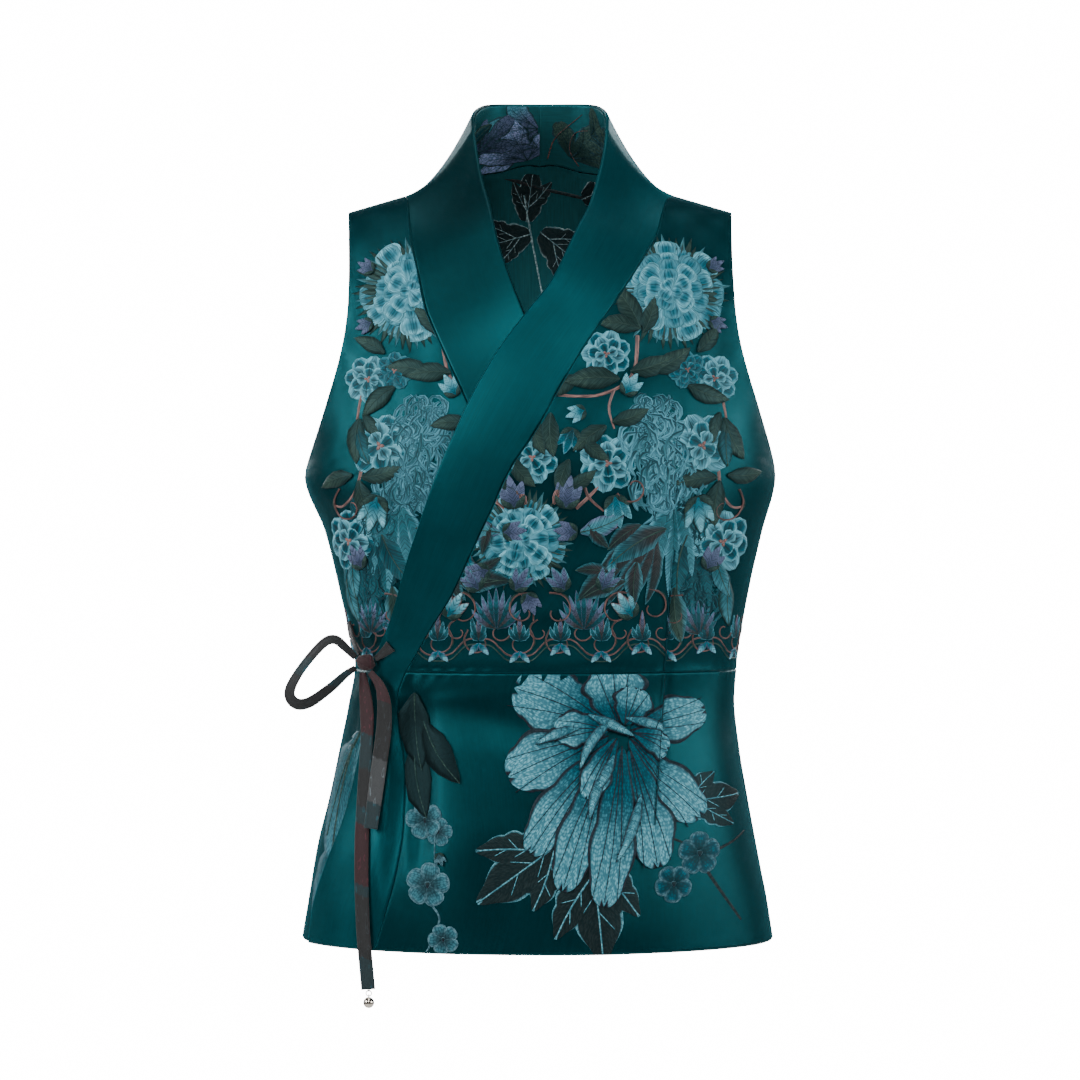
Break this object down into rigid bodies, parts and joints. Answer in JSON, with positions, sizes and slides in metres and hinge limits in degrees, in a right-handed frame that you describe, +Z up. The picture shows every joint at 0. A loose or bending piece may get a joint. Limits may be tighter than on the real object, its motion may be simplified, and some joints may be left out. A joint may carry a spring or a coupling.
{
  "type": "wrap waistcoat",
  "caption": "Sleeveless wrap waistcoat with a satin neckband, a flared peplum and a tied ribbon that ends in a swinging bead, held in its worn shape.",
  "frame": {"origin": "midway between the two points where the shoulder seams meet the neckband", "axes": "+Z up, the wearer faces -Y, the wearer's left is +X"},
  "size_m": [0.3876, 0.2262, 0.7187],
  "materials": {
    "embroidered_satin": "dark teal satin jacquard with pale blue, olive and copper flowers",
    "band_satin": "plain teal satin with a soft sheen",
    "leaf_lining": "teal satin with large dark outlined leaves",
    "ribbon": "charcoal, maroon and teal patterned ribbon with a short nap",
    "pale_metal": "polished pale gold"
  },
  "bodies": {
    "root": {"bodice_back": "embroidered_satin", "back_lining": "leaf_lining", "peplum_back": "embroidered_satin", "bodice_front_right": "embroidered_satin", "peplum_front_right": "embroidered_satin", "neckband_right": "band_satin", "bodice_front_left": "embroidered_satin", "peplum_front_left": "embroidered_satin", "neckband_left": "band_satin", "collar_facing_left": "leaf_lining", "collar_facing_right": "leaf_lining", "tie_side": "ribbon", "tie_front": "ribbon", "tie_knot": "ribbon", "tie_loop": "ribbon", "tie_tail_long": "ribbon", "tie_tail_short": "ribbon", "bead_ring": "pale_metal"},
    "swinging_bead": {"bead": "pale_metal"}
  },
  "joints": [
    {"name": "bead_swing", "type": "hinge", "parent": "root", "child": "swinging_bead", "pos_m": [-0.1318, -0.09075, -0.6254], "axis": [1, 0, 0], "range_deg": [-60, 60]}
  ]
}
